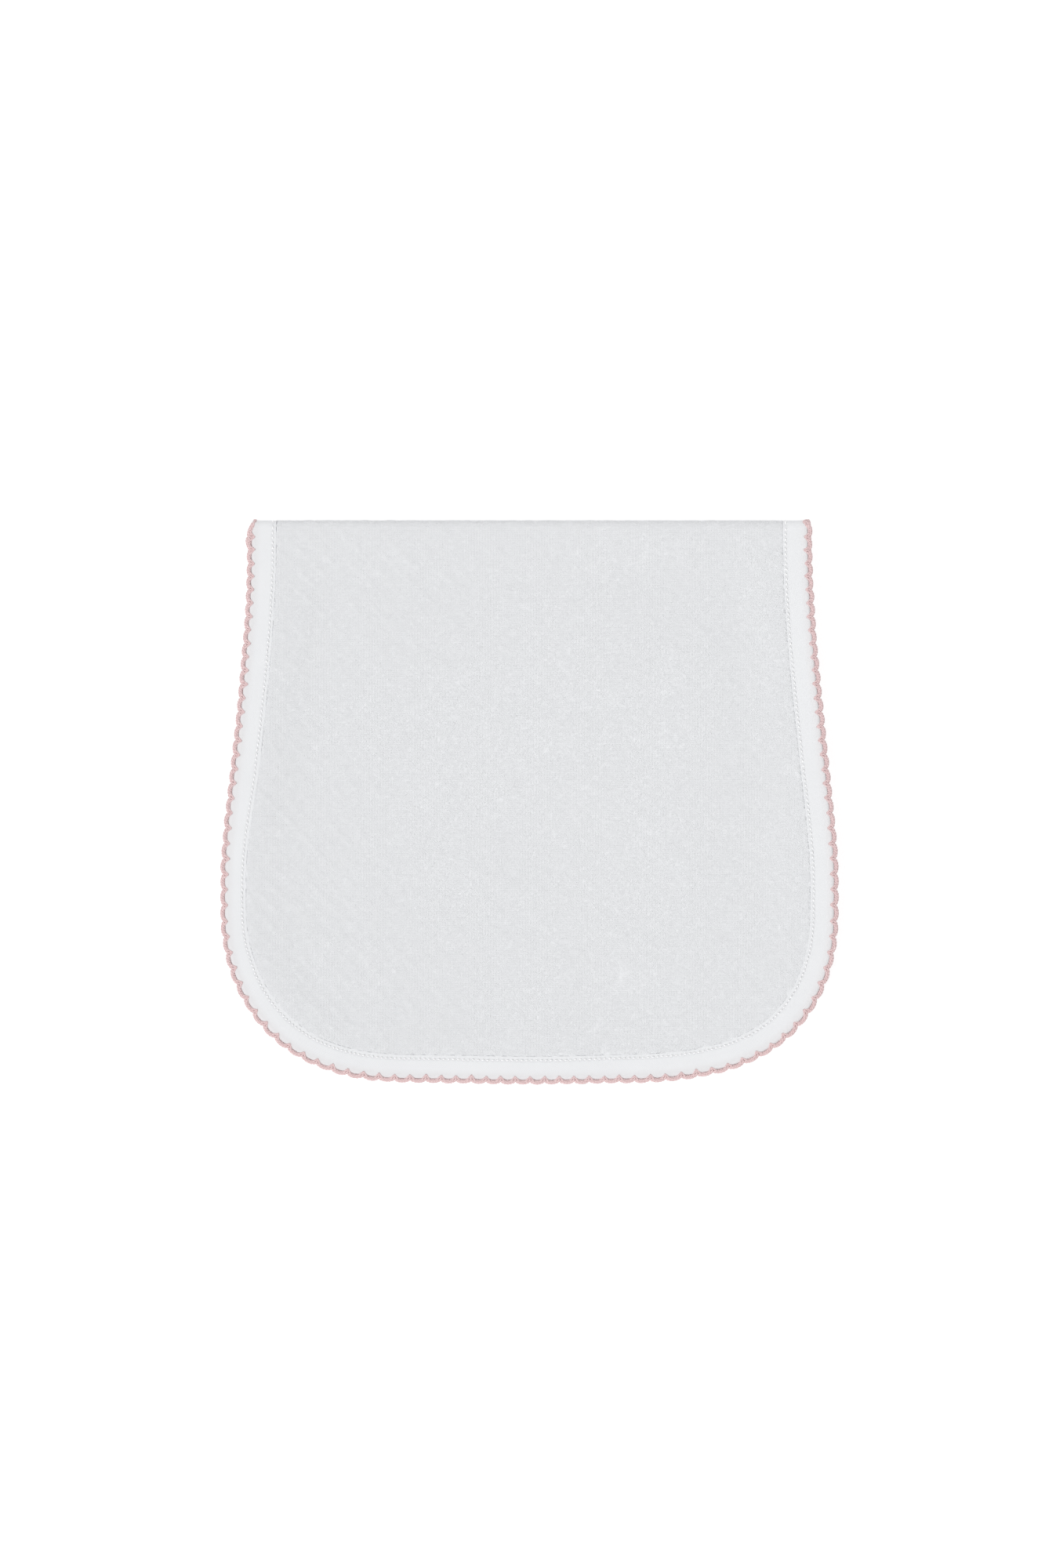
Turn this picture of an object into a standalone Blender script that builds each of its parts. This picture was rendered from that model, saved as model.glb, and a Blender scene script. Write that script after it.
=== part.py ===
# A burp cloth folded once across its middle and laid flat, with the fold at +Y.
#
# The cloth is an hourglass with round ends. A plain binding wraps its cut edge and a scalloped
# crochet edging runs round the binding. Every piece is worked out on the flat, unfolded cloth:
# "across" is sideways, "along" runs from the fold line (0) to the front end (positive) or to the
# back end (negative), and "lift" is the distance from the middle of the cloth's thickness,
# positive on the side that shows. fold_over() then lays the back half under the front half.

import math

import bmesh
import bpy
import numpy as np
from mathutils import Vector
from mathutils.geometry import delaunay_2d_cdt

# Cut outline of one half, in metres from the fold line and from the middle of the cloth
HALF_LENGTH = 0.2527
SIDES = {
    "left": {
        "waist": 0.1259,
        "hip": 0.1378,
        "waist_end": 0.0166,
        "hip_start": 0.1758,
        "round_across": 0.0840,
        "round_power": 2.22,
    },
    "right": {
        "waist": 0.1265,
        "hip": 0.1381,
        "waist_end": 0.0110,
        "hip_start": 0.1753,
        "round_across": 0.0946,
        "round_power": 2.43,
    },
}

# Unevenness by the way along the edge from the fold: how far the cut edge strays outwards from
# that outline on the left and on the right, and how wide the binding is there
EDGE_COLUMNS = ("way", "left_drift", "right_drift", "left_band", "right_band")
EDGE_ROWS = (
    (0.000, -0.00030, -0.00070, 0.0110, 0.0111),
    (0.057, 0.00010, -0.00040, 0.0109, 0.0111),
    (0.110, -0.00050, -0.00075, 0.0109, 0.0109),
    (0.156, 0.00015, -0.00015, 0.0094, 0.0107),
    (0.178, -0.00010, -0.00040, 0.0095, 0.0107),
    (0.210, -0.00025, -0.00050, 0.0103, 0.0109),
    (0.249, 0.00025, 0.00020, 0.0105, 0.0109),
    (0.298, -0.00065, -0.00060, 0.0105, 0.0108),
    (0.359, 0.00015, 0.00015, 0.0105, 0.0105),
)
BACK_TUCK = 0.0018
BACK_TUCK_RUN = 0.070
OUTLINE_STEP = 0.0005
OUTLINE_POINTS = 400

# Fold
FOLD_RADIUS = 0.0020
BEND_STEPS = 4
BEND_RUN = FOLD_RADIUS * math.pi / 2

# Thicknesses and clearances
CLEARANCE = 0.0003
BINDING_CLOTH = 0.0010
PANEL_THICK = 0.0020
PANEL_EDGE_THICK = 0.0010
BAND_HALF = PANEL_EDGE_THICK / 2 + CLEARANCE + BINDING_CLOTH
MID_HEIGHT = FOLD_RADIUS + BAND_HALF

# Binding
BINDING_STATION = 0.0080
BINDING_ROUNDING = 0.0009

# Panel
PANEL_STATION = 0.0130
PANEL_RAMP = 0.0024
PANEL_ROW_PITCH = 0.0150
FRONT_PITCH = 0.0165
BACK_PITCH = 0.0290
PITCH_CLEAR_OF_EDGE = 0.45
PUFF_UP = 0.0006
UNDER_DROP = MID_HEIGHT - FOLD_RADIUS - PANEL_THICK / 2
UNDER_DROP_RUN = 0.014
FRONT_SAG = 0.0010
SAG_EDGE_RUN = 0.024
SAG_FOLD_RUN = 0.030
RISE_RUN = 0.060

# Soft hollows (depth above 0) and swells of the front half's panel:
# across, along, half width, half length, turn in degrees, depth
HOLLOWS = (
    (0.075, 0.030, 0.066, 0.027, 34, 0.00060),
    (0.022, 0.016, 0.022, 0.013, 34, 0.00030),
    (-0.104, 0.117, 0.022, 0.012, -36, 0.00045),
    (-0.091, 0.056, 0.012, 0.026, 0, 0.00025),
    (-0.094, 0.173, 0.014, 0.016, 20, 0.00025),
    (-0.103, 0.208, 0.024, 0.011, 45, 0.00050),
    (0.098, 0.150, 0.046, 0.012, 42, 0.00030),
    (0.010, 0.190, 0.030, 0.016, 45, 0.00020),
    (-0.055, 0.105, 0.032, 0.060, 0, -0.00035),
    (0.040, 0.125, 0.050, 0.026, 34, -0.00030),
)

# Where the front half stands a little off the back half: across, along, half size, rise
RISES = (
    (-0.112, 0.214, 0.050, 0.0012),
    (0.118, 0.222, 0.046, 0.0009),
    (-0.136, 0.118, 0.034, 0.0006),
    (0.134, 0.140, 0.036, 0.0005),
    (0.030, 0.252, 0.034, 0.0005),
)

# Crochet edging
SCALLOPS_A_HALF = 106
FIRST_NOTCH = 0.0014
NARROW_SCALLOP = 0.0060
SCALLOP_WIDENING = 0.0014
WIDENING_WAVE = 0.462
CHAIN_HALF_HEIGHT = 0.00105
NOTCH_WIDTH = 0.0008
SLIT_WIDTH = 0.0001
SCALLOP_BULGE = 0.0013
SCALLOP_POINTS = (0.0, 0.30, 0.70)
SCALLOP_BEND_POINTS = (0.0, 0.125, 0.25, 0.375, 0.5, 0.625, 0.75, 0.875)
SCALLOP_ROUNDNESS = 0.8

# Finishes: linear colour, then roughness
FINISHES = {
    "panel": ((0.83, 0.84, 0.855), 0.95),
    "binding": ((0.845, 0.853, 0.868), 0.92),
    "edging": ((0.71, 0.51, 0.51), 0.90),
}
SHARP_ANGLE = math.radians(50)


# Helpers

def smooth_step(value):
    share = np.clip(value, 0.0, 1.0)
    return share * share * (3 - 2 * share)


def unevenness(name, way):
    """Value of one of the edge table's columns along the edge, easing from row to row."""
    table = np.array(EDGE_ROWS).T
    places = table[0]
    values = table[EDGE_COLUMNS.index(name)]
    index = np.clip(np.searchsorted(places, way, side="right") - 1, 0, len(places) - 2)
    share = (way - places[index]) / (places[index + 1] - places[index])
    return values[index] + (values[index + 1] - values[index]) * smooth_step(share)


def even_steps(points, step):
    """The same open line with its points an even distance apart."""
    way = np.concatenate([[0.0], np.cumsum(np.hypot(*np.diff(points, axis=0).T))])
    count = int(round(way[-1] / step)) + 1
    places = np.linspace(0.0, way[-1], count)
    return np.column_stack([np.interp(places, way, points[:, axis]) for axis in (0, 1)]), places


def outward(points):
    """Outward directions along a line from the fold to the end, with the cloth on its left."""
    along = np.gradient(points, axis=0)
    along /= np.hypot(along[:, 0], along[:, 1])[:, None]
    return np.column_stack([along[:, 1], -along[:, 0]])


# Outline on the flat cloth

def quarter_outline(side, tucked):
    """A quarter's cut edge, from the fold line to the end's middle, and the binding's widths there."""
    shape = SIDES[side]
    round_along = HALF_LENGTH - shape["hip_start"]
    along = np.linspace(0.0, shape["hip_start"], OUTLINE_POINTS)
    share = np.clip((along - shape["waist_end"]) / (shape["hip_start"] - shape["waist_end"]), 0, 1)
    across = shape["waist"] + (shape["hip"] - shape["waist"]) * (1 - np.cos(np.pi * share)) / 2
    turn = np.linspace(0.0, math.pi / 2, OUTLINE_POINTS)[1:]
    power = 2 / shape["round_power"]
    flat_end = shape["hip"] - shape["round_across"]
    round_x = flat_end + shape["round_across"] * np.cos(turn).clip(0) ** power
    round_y = shape["hip_start"] + round_along * np.sin(turn) ** power
    points = np.concatenate([
        np.column_stack([across, along]),
        np.column_stack([round_x, round_y]),
        np.array([[0.0, HALF_LENGTH]]),
    ])
    points, places = even_steps(points, OUTLINE_STEP)
    drift = unevenness(side + "_drift", places)
    if tucked:
        drift = drift - BACK_TUCK * smooth_step(places / BACK_TUCK_RUN)
    points = points + outward(points) * drift[:, None]
    points[0, 1] = 0.0
    points[-1, 0] = 0.0
    points, places = even_steps(points, OUTLINE_STEP)
    return points, unevenness(side + "_band", places)


class CutEdge:
    """The closed cut edge, from the left end of the fold round the front, then round the back."""

    def __init__(self):
        quarters = []
        widths = []
        turns = (("left", 1, 1), ("right", 1, -1), ("right", -1, 1), ("left", -1, -1))
        for side, half, order in turns:
            points, band = quarter_outline(side, half < 0)
            points = points * np.array([-1 if side == "left" else 1, half])
            quarters.append(points[::order][:-1])
            widths.append(band[::order][:-1])
        self.points = np.concatenate(quarters)
        self.bands = np.concatenate(widths)
        steps = np.hypot(*np.diff(self.points, axis=0, append=self.points[:1]).T)
        self.way = np.concatenate([[0.0], np.cumsum(steps)])
        self.length = self.way[-1]
        self.right_fold = self.way[len(quarters[0]) + len(quarters[1])]
        ahead = np.roll(self.points, -1, axis=0) - np.roll(self.points, 1, axis=0)
        ahead /= np.hypot(ahead[:, 0], ahead[:, 1])[:, None]
        self.normals = np.column_stack([-ahead[:, 1], ahead[:, 0]])

    def at(self, places):
        """Points of the edge and their outward directions, at distances along it."""
        wrapped = np.mod(places, self.length)
        found = []
        for table in (self.points, self.normals):
            closed = np.concatenate([table, table[:1]])
            found.append(np.column_stack([np.interp(wrapped, self.way, c) for c in closed.T]))
        return found

    def band_at(self, places):
        """Width of the binding at distances along the edge."""
        return np.interp(np.mod(places, self.length), self.way, np.append(self.bands, self.bands[0]))

    def depths(self, points):
        """Distance of each point of the cloth from the cut edge and from the binding's inner edge."""
        gaps = points[:, None, :] - self.points[None, :, :]
        gaps = np.hypot(gaps[..., 0], gaps[..., 1])
        nearest = gaps.argmin(axis=1)
        depth = gaps[np.arange(len(points)), nearest]
        return depth, depth - self.bands[nearest]

    def stations(self, spacing):
        """Distances along the edge: close together round the fold's bend, even elsewhere."""
        bend = np.linspace(0.0, BEND_RUN, BEND_STEPS + 1)
        places = []
        for start, end in ((0.0, self.right_fold), (self.right_fold, self.length)):
            count = int(round((end - start) / spacing))
            middle = np.linspace(start + BEND_RUN, end - BEND_RUN, count)
            places += [start + bend[:-1], middle, (end - bend[1:-1])[::-1]]
        return np.concatenate(places)


def rise(across, along):
    """How far the front half stands off the back half, beyond the gap that the fold leaves."""
    height = np.zeros(across.shape)
    for middle_x, middle_y, half_size, amount in RISES:
        away = ((across - middle_x) ** 2 + (along - middle_y) ** 2) / half_size**2
        height += amount * np.exp(-away)
    return height * smooth_step(along / RISE_RUN)


def fold_over(across, along, lift):
    """Places on the folded cloth, with the bend's axis over y = 0."""
    turn = np.clip(along / FOLD_RADIUS, -math.pi / 2, math.pi / 2)
    past_bend = np.clip(np.abs(along) - BEND_RUN, 0.0, None)
    reach = FOLD_RADIUS + lift
    return np.column_stack([
        across,
        reach * np.cos(turn) - past_bend,
        MID_HEIGHT + reach * np.sin(turn) + rise(across, along),
    ])


# Pieces

def swept_ring(points, normals, sections):
    """Closed ring: each section is a row of (outwards, lift) about its point of the cut edge."""
    out = sections[..., 0]
    across = points[:, None, 0] + normals[:, None, 0] * out
    along = points[:, None, 1] + normals[:, None, 1] * out
    places = fold_over(across.ravel(), along.ravel(), sections[..., 1].ravel())
    rows, columns = out.shape
    faces = []
    for row in range(rows):
        after = (row + 1) % rows
        for column in range(columns):
            beside = (column + 1) % columns
            faces.append((
                row * columns + column,
                row * columns + beside,
                after * columns + beside,
                after * columns + column,
            ))
    return places, faces


def binding_shape(edge):
    """The strip wrapped over the cut edge: a U in section, its two legs on the panel's faces."""
    inner_lift = BAND_HALF - BINDING_CLOTH
    places = edge.stations(BINDING_STATION)
    sections = []
    for width in edge.band_at(places):
        half = [
            (-BINDING_CLOTH, inner_lift),
            (-width, inner_lift),
            (-width, BAND_HALF - BINDING_CLOTH / 4),
            (BINDING_CLOTH / 4 - width, BAND_HALF),
            (-BINDING_ROUNDING, BAND_HALF),
            (0.0, BAND_HALF - BINDING_ROUNDING),
        ]
        sections.append(half + [(out, -lift) for out, lift in reversed(half)])
    return swept_ring(*edge.at(places), np.array(sections))


def notches(edge):
    """Distances along the cut edge of the scallops' notches, with narrower scallops by the fold."""
    spans = (
        (FIRST_NOTCH, edge.right_fold - FIRST_NOTCH),
        (edge.right_fold - FIRST_NOTCH, edge.length + FIRST_NOTCH),
    )
    found = []
    for start, end in spans:
        places = np.linspace(start, end, int((end - start) / OUTLINE_STEP))
        from_fold = np.minimum(places - start, end - places)
        wave = np.sin(math.pi * from_fold / WIDENING_WAVE) ** 2
        count = np.cumsum(1 / (NARROW_SCALLOP + SCALLOP_WIDENING * wave))
        count = (count - count[0]) / (count[-1] - count[0]) * SCALLOPS_A_HALF
        found.append(np.interp(np.arange(SCALLOPS_A_HALF), count, places))
    return np.concatenate(found)


def edging_shape(edge):
    """A chain that bows out between notches, where it comes down to the binding."""
    starts = notches(edge)
    ends = np.append(starts[1:], starts[0] + edge.length)
    folds = np.array([0.0, edge.right_fold, edge.length])
    places = []
    bulges = []
    for start, end in zip(starts, ends):
        near_bend = np.abs(folds - start).min() < BEND_RUN + (end - start)
        for share in SCALLOP_BEND_POINTS if near_bend else SCALLOP_POINTS:
            places.append(start + share * (end - start))
            bulges.append(math.sin(math.pi * share) ** SCALLOP_ROUNDNESS)
    sections = []
    for bulge in bulges:
        inner = CLEARANCE + SLIT_WIDTH * bulge
        outer = CLEARANCE + NOTCH_WIDTH + SCALLOP_BULGE * bulge
        crown = (inner + outer) / 2
        sections.append((
            (inner, CHAIN_HALF_HEIGHT / 2),
            (crown, CHAIN_HALF_HEIGHT),
            (outer, 0.0),
            (crown, -CHAIN_HALF_HEIGHT),
            (inner, -CHAIN_HALF_HEIGHT / 2),
        ))
    return swept_ring(*edge.at(np.array(places)), np.array(sections))


def hollow_depth(across, along):
    depth = np.full(across.shape, FRONT_SAG)
    for middle_x, middle_y, half_width, half_length, turn, amount in HOLLOWS:
        cosine = math.cos(math.radians(turn))
        sine = math.sin(math.radians(turn))
        off_x = across - middle_x
        off_y = along - middle_y
        wide = (off_x * cosine + off_y * sine) / half_width
        long = (off_y * cosine - off_x * sine) / half_length
        depth += amount * np.exp(-wide * wide - long * long)
    return depth


def field_points(edge, half, pitch):
    """A staggered grid over one half of the panel, clear of its edge and of the bend."""
    row_pitch = pitch * math.sqrt(3) / 2
    widest = max(shape["hip"] for shape in SIDES.values())
    found = []
    for row, along in enumerate(np.arange(BEND_RUN + row_pitch, HALF_LENGTH, row_pitch)):
        shift = pitch / 2 if row % 2 else 0.0
        for across in np.arange(-widest + shift, widest, pitch):
            found.append((across, half * along))
    found = np.array(found)
    past_band = edge.depths(found)[1]
    return found[past_band > CLEARANCE + PANEL_RAMP + pitch * PITCH_CLEAR_OF_EDGE]


def panel_shape(edge):
    """One sheet: thin under the binding, puffing up beyond it, and settling onto what is below."""
    places = edge.stations(PANEL_STATION)
    points, normals = edge.at(places)
    band = edge.band_at(places)
    ring_depths = (
        np.full(len(places), BINDING_CLOTH + CLEARANCE),
        band + CLEARANCE,
        band + CLEARANCE + PANEL_RAMP,
    )
    rings = [points - normals * depth[:, None] for depth in ring_depths]
    count = len(places)
    flat = list(np.concatenate(rings))
    lines = []
    for ring in range(len(rings)):
        lines += [(ring * count + i, ring * count + (i + 1) % count) for i in range(count)]

    # Rows across the bend, from the left side's stations to the right side's
    inner_ring = (len(rings) - 1) * count
    right = int(np.argmin(np.abs(places - edge.right_fold)))
    for step in range(-BEND_STEPS, BEND_STEPS + 1):
        left_station = step % count
        right_station = right - step
        first = flat[inner_ring + left_station]
        last = flat[inner_ring + right_station]
        columns = int(round((last[0] - first[0]) / PANEL_ROW_PITCH))
        row = [inner_ring + left_station]
        for column in range(1, columns):
            row.append(len(flat))
            flat.append(first + (last - first) * column / columns)
        row.append(inner_ring + right_station)
        lines += list(zip(row[:-1], row[1:]))
        for ring in range(len(rings) - 1):
            for station in (left_station, right_station):
                lines.append((ring * count + station, (ring + 1) * count + station))
    flat += list(field_points(edge, 1, FRONT_PITCH))
    flat += list(field_points(edge, -1, BACK_PITCH))

    flat, _, faces, *_ = delaunay_2d_cdt([Vector(p) for p in flat], lines, [], 1, 1e-7)
    flat = np.array([tuple(p) for p in flat])
    across, along = flat.T
    past_band = edge.depths(flat)[1] - CLEARANCE
    full = smooth_step(past_band / PANEL_RAMP)
    thick = PANEL_EDGE_THICK + (PANEL_THICK - PANEL_EDGE_THICK) * full
    past_bend = np.abs(along) - BEND_RUN
    sag = hollow_depth(across, along) * smooth_step(past_bend / SAG_FOLD_RUN)
    sag = sag * smooth_step((past_band - PANEL_RAMP) / SAG_EDGE_RUN)
    drop = (UNDER_DROP - PUFF_UP) * smooth_step(past_bend / UNDER_DROP_RUN)
    middle = np.where(along > 0, -sag, drop * full) + PUFF_UP * full
    top = fold_over(across, along, middle + thick / 2)
    under = fold_over(across, along, middle - thick / 2)

    skin = len(flat)
    shell = [tuple(face) for face in faces]
    shell += [tuple(point + skin for point in reversed(face)) for face in faces]
    return np.concatenate([top, under]), shell + rim_faces(faces, skin)


def rim_faces(faces, skin):
    """Quads that join the rims of a sheet's two skins."""
    used = {(a, b) for face in faces for a, b in zip(face, [*face[1:], face[0]])}
    return [(b, a, a + skin, b + skin) for a, b in sorted(used) if (b, a) not in used]


# Objects

def finish(name, colour, roughness):
    material = bpy.data.materials.new(name)
    material.use_nodes = True
    shader = material.node_tree.nodes["Principled BSDF"]
    shader.inputs["Base Color"].default_value = (*colour, 1.0)
    shader.inputs["Roughness"].default_value = roughness
    shader.inputs["Metallic"].default_value = 0.0
    return material


def add_piece(name, places, faces, material):
    mesh = bpy.data.meshes.new(name)
    mesh.from_pydata([tuple(place) for place in places], [], faces)
    shape = bmesh.new()
    shape.from_mesh(mesh)
    bmesh.ops.recalc_face_normals(shape, faces=shape.faces)
    shape.to_mesh(mesh)
    shape.free()
    mesh.shade_smooth()
    mesh.set_sharp_from_angle(angle=SHARP_ANGLE)
    mesh.materials.append(material)
    piece = bpy.data.objects.new(name, mesh)
    bpy.context.scene.collection.objects.link(piece)
    return piece


def main():
    for old in list(bpy.data.objects):
        bpy.data.objects.remove(old, do_unlink=True)
    edge = CutEdge()
    pieces = {
        "panel": panel_shape(edge),
        "binding": binding_shape(edge),
        "edging": edging_shape(edge),
    }
    everything = np.concatenate([places for places, _ in pieces.values()])
    middle = (everything.min(axis=0) + everything.max(axis=0)) / 2
    middle[2] = 0.0
    for name, (places, faces) in pieces.items():
        add_piece(name, places - middle, faces, finish(name, *FINISHES[name]))


main()
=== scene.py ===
# Looks of a burp cloth folded once and laid flat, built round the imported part.
#
# Every piece is worked out on the flat, unfolded cloth, with the part's own sizes: "across" is
# sideways, "along" runs from the fold line (0) to the front end (positive) or the back end
# (negative), and "lift" is the distance from the middle of the cloth's thickness, positive on
# the side that shows. fold_over() then lays the back half under the front half.

import math

import bpy
import numpy as np
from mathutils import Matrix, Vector, kdtree, noise
from mathutils.geometry import delaunay_2d_cdt

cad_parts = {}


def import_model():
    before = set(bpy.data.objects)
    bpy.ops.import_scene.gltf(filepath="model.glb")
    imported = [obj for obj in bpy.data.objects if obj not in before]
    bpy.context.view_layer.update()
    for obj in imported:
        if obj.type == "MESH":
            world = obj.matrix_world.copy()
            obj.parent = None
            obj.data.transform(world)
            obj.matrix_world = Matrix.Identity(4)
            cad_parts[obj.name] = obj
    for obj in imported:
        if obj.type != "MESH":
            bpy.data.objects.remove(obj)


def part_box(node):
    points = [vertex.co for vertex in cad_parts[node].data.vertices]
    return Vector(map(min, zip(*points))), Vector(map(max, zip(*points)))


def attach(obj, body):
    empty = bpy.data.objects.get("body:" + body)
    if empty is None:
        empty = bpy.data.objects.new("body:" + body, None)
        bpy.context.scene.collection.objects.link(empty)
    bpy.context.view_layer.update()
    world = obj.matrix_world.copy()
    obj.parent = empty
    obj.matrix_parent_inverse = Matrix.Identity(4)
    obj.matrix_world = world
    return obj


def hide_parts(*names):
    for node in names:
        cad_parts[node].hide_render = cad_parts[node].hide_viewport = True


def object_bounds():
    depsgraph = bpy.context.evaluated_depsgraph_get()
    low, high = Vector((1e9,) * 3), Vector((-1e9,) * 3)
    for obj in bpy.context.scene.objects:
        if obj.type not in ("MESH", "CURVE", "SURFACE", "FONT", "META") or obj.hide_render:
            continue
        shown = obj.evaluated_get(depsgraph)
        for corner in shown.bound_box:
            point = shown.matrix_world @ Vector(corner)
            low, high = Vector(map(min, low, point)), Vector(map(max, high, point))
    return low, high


# The part's sizes: cut outline of one half
HALF_LENGTH = 0.2527
SIDES = {
    "left": {
        "waist": 0.1259,
        "hip": 0.1378,
        "waist_end": 0.0166,
        "hip_start": 0.1758,
        "round_across": 0.0840,
        "round_power": 2.22,
    },
    "right": {
        "waist": 0.1265,
        "hip": 0.1381,
        "waist_end": 0.0110,
        "hip_start": 0.1753,
        "round_across": 0.0946,
        "round_power": 2.43,
    },
}

# Unevenness by the way along the edge from the fold: how far the cut edge strays outwards, how
# wide the binding is and how far in its topstitch runs, on the left and on the right
EDGE_COLUMNS = (
    "way", "left_drift", "right_drift", "left_band", "right_band", "left_seam", "right_seam",
)
EDGE_ROWS = (
    (0.000, -0.00030, -0.00070, 0.0110, 0.0111, 0.0095, 0.0099),
    (0.057, 0.00010, -0.00040, 0.0109, 0.0111, 0.0094, 0.0099),
    (0.110, -0.00050, -0.00075, 0.0109, 0.0109, 0.0091, 0.0096),
    (0.156, 0.00015, -0.00015, 0.0094, 0.0107, 0.0078, 0.0092),
    (0.178, -0.00010, -0.00040, 0.0095, 0.0107, 0.0078, 0.0092),
    (0.210, -0.00025, -0.00050, 0.0103, 0.0109, 0.0085, 0.0094),
    (0.249, 0.00025, 0.00020, 0.0105, 0.0109, 0.0087, 0.0093),
    (0.298, -0.00065, -0.00060, 0.0105, 0.0108, 0.0087, 0.0093),
    (0.359, 0.00015, 0.00015, 0.0105, 0.0105, 0.0087, 0.0087),
)
BACK_TUCK = 0.0018
BACK_TUCK_RUN = 0.070
OUTLINE_STEP = 0.0005
OUTLINE_POINTS = 400

# The part's sizes: fold, thicknesses, and how each half settles
FOLD_RADIUS = 0.0020
BEND_RUN = FOLD_RADIUS * math.pi / 2
PANEL_THICK = 0.0020
BAND_HALF = 0.0018
LEG_INNER = 0.0008
MID_HEIGHT = FOLD_RADIUS + BAND_HALF
PUFF_UP = 0.0006
UNDER_DROP = MID_HEIGHT - FOLD_RADIUS - PANEL_THICK / 2
UNDER_DROP_RUN = 0.014
FRONT_SAG = 0.0010
SAG_EDGE_RUN = 0.024
SAG_FOLD_RUN = 0.030
RISE_RUN = 0.060

# Soft hollows (depth above 0) and swells of the front half's panel:
# across, along, half width, half length, turn in degrees, depth
HOLLOWS = (
    (0.075, 0.030, 0.066, 0.027, 34, 0.00060),
    (0.022, 0.016, 0.022, 0.013, 34, 0.00030),
    (-0.104, 0.117, 0.022, 0.012, -36, 0.00045),
    (-0.091, 0.056, 0.012, 0.026, 0, 0.00025),
    (-0.094, 0.173, 0.014, 0.016, 20, 0.00025),
    (-0.103, 0.208, 0.024, 0.011, 45, 0.00050),
    (0.098, 0.150, 0.046, 0.012, 42, 0.00030),
    (0.010, 0.190, 0.030, 0.016, 45, 0.00020),
    (-0.055, 0.105, 0.032, 0.060, 0, -0.00035),
    (0.040, 0.125, 0.050, 0.026, 34, -0.00030),
)

# Where the front half stands a little off the back half: across, along, half size, rise
RISES = (
    (-0.112, 0.214, 0.050, 0.0012),
    (0.118, 0.222, 0.046, 0.0009),
    (-0.136, 0.118, 0.034, 0.0006),
    (0.134, 0.140, 0.036, 0.0005),
    (0.030, 0.252, 0.034, 0.0005),
)

# The part's sizes: scallops
SCALLOPS_A_HALF = 106
FIRST_NOTCH = 0.0014
NARROW_SCALLOP = 0.0060
SCALLOP_WIDENING = 0.0014
WIDENING_WAVE = 0.462

# Panel mesh
RIM_DEPTH = 0.0013
RIM_STATION = 0.0026
# Spacing of its points over and with the slanting rows of the figure
FRONT_SPACING = (0.00085, 0.00125)
BACK_SPACING = (0.00125, 0.00200)
INNER_SPACING = (0.0070, 0.0070)
# Rows straight across the bend, and how many rows' width is left between them and the rest
BEND_ROW = 0.00045
BEND_COLUMN = 0.0016
BEND_CLEAR_ROWS = 2.6
INNER_BEND_ROW = 0.00105
INNER_BEND_COLUMN = 0.0080
INNER_BEND_CLEAR_ROWS = 3
# The step down to the thickness under the binding, with rings of points given as the distance
# inwards from the binding's inner edge
UNDER_BAND_THICK = 0.00156
BAND_STEP_RUN = 0.00042
BAND_RINGS = (-0.00056, -0.00042, -0.00027, -0.00010, 0.00006)
HIDDEN_RINGS = (-0.0050, -0.0010)
SAME_POINT = 1e-7

# The panel's woven figure: short raised puffs in rows that slant down to the right
ROW_PITCH = 0.00643
PUFF_PITCH = 0.0041
PUFF_HEIGHT = 0.00032
FIGURE_EDGE_RUN = 0.0012
ROW_HALF_WIDTH = 0.22
BETWEEN_HALF_WIDTH = 0.15
BETWEEN_SHARE = 0.45
ROW_BASE = 0.32
PUFF_SHARE = 0.68
ROW_WOBBLE = 0.13
PUFF_JITTER = 0.50
PUFF_VARIETY = 1.3
PUFF_FRAY = 0.55
TALLEST_PUFF = 1.25
WEAR_FLOOR = 0.20
WEAR_MIDDLE = 0.85
WEAR_VARIETY = 0.3
# What varies over the figure: size of its patches, and the layer of noise that it is read from
WOBBLE_PATCHES = (0.022, 1.5)
JITTER_PATCHES = (0.007, 7.5)
VARIETY_PATCHES = (0.0050, 11.5)
FRAY_PATCHES = (0.0019, 15.5)
WEAR_PATCHES = (0.016, 3.5)
# Where the figure shows most: across, along, half width, half length, amount
FIGURE_ZONES = (
    (-0.090, 0.020, 0.080, 0.035, 0.75),
    (-0.110, 0.130, 0.035, 0.090, 0.60),
    (-0.082, 0.210, 0.050, 0.045, 0.68),
    (0.100, 0.170, 0.030, 0.080, 0.35),
    (0.090, 0.030, 0.050, 0.040, 0.25),
    (0.000, 0.175, 0.040, 0.050, 0.15),
)

# Binding
STATIONS_A_STITCH = 4
ROLL_OUT = 0.00035
ROLL_DEPTH = 0.0015
ROLL_POWER = 2.3
FOLDED_EDGE_RADIUS = 0.00018
FOLDED_EDGE_TURNS = (0.0, 0.3, 0.6, 1.0)
# Depths from the cut edge on the face that shows and on the hidden one, and from the seam
SHOWN_DEPTHS = (-0.0002, 0.0, 0.0004, 0.0009, 0.0016, 0.0028, 0.0046)
HIDDEN_DEPTHS = (0.0046, 0.0016, 0.0005, -0.0001)
ROUND_SEAM = (-0.00110, -0.00050, -0.00022, 0.0, 0.00022, 0.00050)
HIDDEN_FACE_IN = 0.0001
INNER_FACE_START = 0.00008
INNER_FACE_STEP = 0.0030
CUT_EDGE_GAP = 0.0003
SEAM_DIP = 0.00006
HOLE_DIP = 0.00010
HOLE_POWER = 4
SEAM_HALF_WIDTH = 0.00050
HOLE_HALF_WIDTH = 0.00026
BAND_SETTLED = 0.00020
SETTLED_RUN = 0.004
# Waves along the binding's face: length, height
BAND_WAVES = ((0.011, 0.00004), (0.037, 0.00007))

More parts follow.
